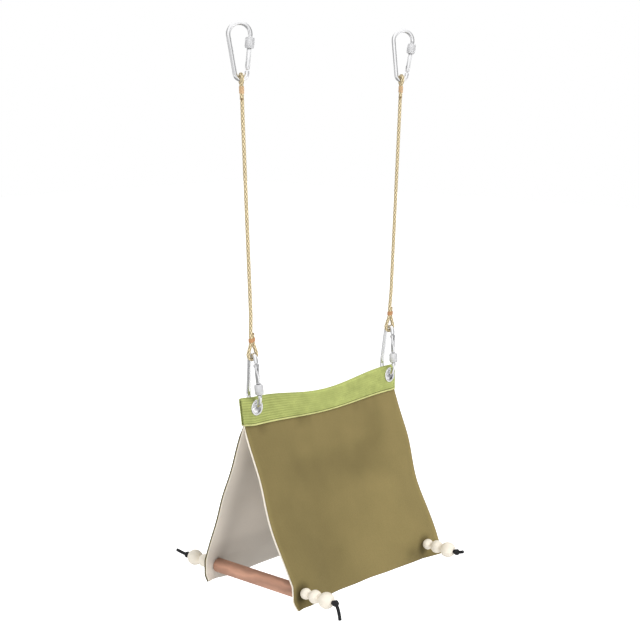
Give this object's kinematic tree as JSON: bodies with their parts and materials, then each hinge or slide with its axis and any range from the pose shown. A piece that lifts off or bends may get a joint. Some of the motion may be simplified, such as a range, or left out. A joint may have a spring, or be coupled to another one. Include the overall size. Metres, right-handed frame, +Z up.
{
  "type": "hanging bird tent",
  "caption": "Ridge tent for cage birds: lined canvas panels under a folded webbing band, spread by wooden perches with beaded cord ends and hung on ropes between screw-lock carabiners.",
  "frame": {"origin": "midway between the two top carabiners, at the inside of their wide bows where they sit on a bar", "axes": "+X along the ridge to the right, +Y to the back panel, +Z up"},
  "size_m": [0.2394, 0.2053, 0.5012],
  "materials": {
    "steel": "bright zinc plate",
    "rope": "braided cotton",
    "seizing": "tight thread wrap",
    "canvas": "plain woven canvas",
    "lining": "soft off-white cloth",
    "band": "ribbed webbing",
    "perch": "stained, sanded",
    "bead": "natural, polished",
    "cord": "braided elastic"
  },
  "bodies": {
    "hanger": {"top_carabiner_left": "steel", "top_gate_rivet_left": "steel", "top_carabiner_right": "steel", "top_gate_rivet_right": "steel"},
    "rope_left": {"rope_left": "rope", "rope_left_top_seizing": "seizing", "rope_left_lower_seizing": "seizing"},
    "lower_carabiner_left": {"lower_carabiner_left": "steel", "lower_gate_rivet_left": "steel"},
    "top_gate_left": {"top_gate_left": "steel", "top_gate_spring_left": "steel"},
    "top_lock_sleeve_left": {"top_lock_sleeve_left": "steel"},
    "lower_gate_left": {"lower_gate_left": "steel", "lower_gate_spring_left": "steel"},
    "lower_lock_sleeve_left": {"lower_lock_sleeve_left": "steel"},
    "rope_right": {"rope_right": "rope", "rope_right_top_seizing": "seizing", "rope_right_lower_seizing": "seizing"},
    "lower_carabiner_right": {"lower_carabiner_right": "steel", "lower_gate_rivet_right": "steel"},
    "top_gate_right": {"top_gate_right": "steel", "top_gate_spring_right": "steel"},
    "top_lock_sleeve_right": {"top_lock_sleeve_right": "steel"},
    "lower_gate_right": {"lower_gate_right": "steel", "lower_gate_spring_right": "steel"},
    "lower_lock_sleeve_right": {"lower_lock_sleeve_right": "steel"},
    "tent": {"canvas_front": "canvas", "lining_front": "lining", "canvas_back": "canvas", "lining_back": "lining", "ridge_band": "band", "eyelet_left": "steel", "eyelet_washer_left": "steel", "perch_cord_left": "cord", "eyelet_right": "steel", "eyelet_washer_right": "steel", "perch_cord_right": "cord"},
    "perch_left": {"perch_left": "perch"},
    "bead_front_left_inner": {"bead_front_left_inner": "bead"},
    "bead_front_left_middle": {"bead_front_left_middle": "bead"},
    "bead_front_left_outer": {"bead_front_left_outer": "bead"},
    "bead_back_left_inner": {"bead_back_left_inner": "bead"},
    "bead_back_left_middle": {"bead_back_left_middle": "bead"},
    "bead_back_left_outer": {"bead_back_left_outer": "bead"},
    "perch_right": {"perch_right": "perch"},
    "bead_front_right_inner": {"bead_front_right_inner": "bead"},
    "bead_front_right_middle": {"bead_front_right_middle": "bead"},
    "bead_front_right_outer": {"bead_front_right_outer": "bead"},
    "bead_back_right_inner": {"bead_back_right_inner": "bead"},
    "bead_back_right_middle": {"bead_back_right_middle": "bead"},
    "bead_back_right_outer": {"bead_back_right_outer": "bead"}
  },
  "joints": [
    {"name": "rope_left_swing", "type": "hinge", "parent": "hanger", "child": "rope_left", "pos_m": [-0.10737, 0, -0.04394], "axis": [1, 0, 0], "range_deg": [-25, 25]},
    {"name": "lower_carabiner_left_sway", "type": "hinge", "parent": "rope_left", "child": "lower_carabiner_left", "pos_m": [-0.09494, 0, -0.27801], "axis": [0, 1, 0], "range_deg": [-15, 15]},
    {"name": "top_gate_left_hinge", "type": "hinge", "parent": "hanger", "child": "top_gate_left", "pos_m": [-0.10316, -0.00316, -0.03482], "axis": [-0.5584, -0.829, -0.0296], "range_deg": [0, 25], "stiffness_Nm_per_rad": 0.02, "springref_deg": -17.19, "deforming": ["top_gate_spring_left"]},
    {"name": "top_lock_sleeve_left_slide", "type": "slide", "parent": "top_gate_left", "child": "top_lock_sleeve_left", "axis": [0.0575, -0.0743, 0.9956], "range_m": [0, 0.003]},
    {"name": "lower_gate_left_hinge", "type": "hinge", "parent": "lower_carabiner_left", "child": "lower_gate_left", "pos_m": [-0.0958, -0.00549, -0.28695], "axis": [0.9706, -0.2351, 0.0515], "range_deg": [0, 25], "stiffness_Nm_per_rad": 0.02, "springref_deg": -17.19, "deforming": ["lower_gate_spring_left"]},
    {"name": "lower_lock_sleeve_left_slide", "type": "slide", "parent": "lower_gate_left", "child": "lower_lock_sleeve_left", "axis": [0.0213, -0.1292, -0.9914], "range_m": [0, 0.003]},
    {"name": "rope_right_swing", "type": "hinge", "parent": "hanger", "child": "rope_right", "pos_m": [0.10737, 0, -0.04394], "axis": [1, 0, 0], "range_deg": [-25, 25]},
    {"name": "lower_carabiner_right_sway", "type": "hinge", "parent": "rope_right", "child": "lower_carabiner_right", "pos_m": [0.09494, 0, -0.27801], "axis": [0, 1, 0], "range_deg": [-15, 15]},
    {"name": "top_gate_right_hinge", "type": "hinge", "parent": "hanger", "child": "top_gate_right", "pos_m": [0.11252, -0.00316, -0.03532], "axis": [-0.5584, -0.829, 0.0296], "range_deg": [0, 25], "stiffness_Nm_per_rad": 0.02, "springref_deg": -17.19, "deforming": ["top_gate_spring_right"]},
    {"name": "top_lock_sleeve_right_slide", "type": "slide", "parent": "top_gate_right", "child": "top_lock_sleeve_right", "axis": [0.1626, -0.0743, 0.9839], "range_m": [0, 0.003]},
    {"name": "lower_gate_right_hinge", "type": "hinge", "parent": "lower_carabiner_right", "child": "lower_gate_right", "pos_m": [0.09314, -0.00549, -0.28681], "axis": [0.9706, -0.2351, -0.0515], "range_deg": [0, 25], "stiffness_Nm_per_rad": 0.02, "springref_deg": -17.19, "deforming": ["lower_gate_spring_right"]},
    {"name": "lower_lock_sleeve_right_slide", "type": "slide", "parent": "lower_gate_right", "child": "lower_lock_sleeve_right", "axis": [-0.0838, -0.1292, -0.9881], "range_m": [0, 0.003]},
    {"name": "tent_sway", "type": "hinge", "parent": "lower_carabiner_left", "child": "tent", "pos_m": [-0.0925, 0, -0.32394], "axis": [0, 1, 0], "range_deg": [-15.6, 15.6]},
    {"name": "perch_left_spin", "type": "hinge", "parent": "tent", "child": "perch_left", "pos_m": [-0.0885, 0, -0.48214], "axis": [0, 1, 0], "continuous": true},
    {"name": "bead_front_left_inner_spin", "type": "hinge", "parent": "tent", "child": "bead_front_left_inner", "pos_m": [-0.0885, 0, -0.48214], "axis": [0, 1, 0], "continuous": true},
    {"name": "bead_front_left_middle_spin", "type": "hinge", "parent": "tent", "child": "bead_front_left_middle", "pos_m": [-0.0885, 0, -0.48214], "axis": [0, 1, 0], "continuous": true},
    {"name": "bead_front_left_outer_spin", "type": "hinge", "parent": "tent", "child": "bead_front_left_outer", "pos_m": [-0.0885, 0, -0.48214], "axis": [0, 1, 0], "continuous": true},
    {"name": "bead_back_left_inner_spin", "type": "hinge", "parent": "tent", "child": "bead_back_left_inner", "pos_m": [-0.0885, 0, -0.48214], "axis": [0, 1, 0], "continuous": true},
    {"name": "bead_back_left_middle_spin", "type": "hinge", "parent": "tent", "child": "bead_back_left_middle", "pos_m": [-0.0885, 0, -0.48214], "axis": [0, 1, 0], "continuous": true},
    {"name": "bead_back_left_outer_spin", "type": "hinge", "parent": "tent", "child": "bead_back_left_outer", "pos_m": [-0.0885, 0, -0.48214], "axis": [0, 1, 0], "continuous": true},
    {"name": "perch_right_spin", "type": "hinge", "parent": "tent", "child": "perch_right", "pos_m": [0.0867, 0, -0.48214], "axis": [0, 1, 0], "continuous": true},
    {"name": "bead_front_right_inner_spin", "type": "hinge", "parent": "tent", "child": "bead_front_right_inner", "pos_m": [0.0867, 0, -0.48214], "axis": [0, 1, 0], "continuous": true},
    {"name": "bead_front_right_middle_spin", "type": "hinge", "parent": "tent", "child": "bead_front_right_middle", "pos_m": [0.0867, 0, -0.48214], "axis": [0, 1, 0], "continuous": true},
    {"name": "bead_front_right_outer_spin", "type": "hinge", "parent": "tent", "child": "bead_front_right_outer", "pos_m": [0.0867, 0, -0.48214], "axis": [0, 1, 0], "continuous": true},
    {"name": "bead_back_right_inner_spin", "type": "hinge", "parent": "tent", "child": "bead_back_right_inner", "pos_m": [0.0867, 0, -0.48214], "axis": [0, 1, 0], "continuous": true},
    {"name": "bead_back_right_middle_spin", "type": "hinge", "parent": "tent", "child": "bead_back_right_middle", "pos_m": [0.0867, 0, -0.48214], "axis": [0, 1, 0], "continuous": true},
    {"name": "bead_back_right_outer_spin", "type": "hinge", "parent": "tent", "child": "bead_back_right_outer", "pos_m": [0.0867, 0, -0.48214], "axis": [0, 1, 0], "continuous": true}
  ],
  "couplings": [
    {"joint": "rope_right_swing", "follows": "rope_left_swing", "ratio": 1},
    {"joint": "lower_carabiner_right_sway", "follows": "lower_carabiner_left_sway", "ratio": 1},
    {"joint": "tent_sway", "follows": "lower_carabiner_left_sway", "ratio": -1.0264}
  ]
}
